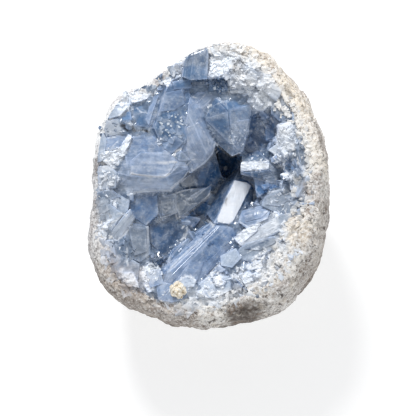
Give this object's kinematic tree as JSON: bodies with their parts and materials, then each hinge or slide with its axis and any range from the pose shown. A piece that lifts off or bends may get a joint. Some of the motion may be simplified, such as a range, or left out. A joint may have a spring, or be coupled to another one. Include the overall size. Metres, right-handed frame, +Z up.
{
  "type": "celestite geode",
  "caption": "Half-shell of pale rough rock whose open hollow is lined with blue crystals; it lies on a small flat spot as a display stone.",
  "frame": {"origin": "middle of the box's underside, on the surface that the stone rests on", "axes": "+Z up; +Y along the stone's length, towards the end that is raised; +X across it; the opening faces up and leans 22 degrees towards -Y"},
  "size_m": [0.0568, 0.0662, 0.0504],
  "materials": {
    "mottled_rock": "rough broken rock, white to grey with brown specks",
    "celestite": "see-through pale blue crystal, glossy faces with milky and frosted patches",
    "cream_mineral": "dull cream to ochre grain"
  },
  "bodies": {
    "root": {"rock_shell": "mottled_rock", "crystal_crust": "celestite", "cream_grain": "cream_mineral"}
  },
  "joints": []
}
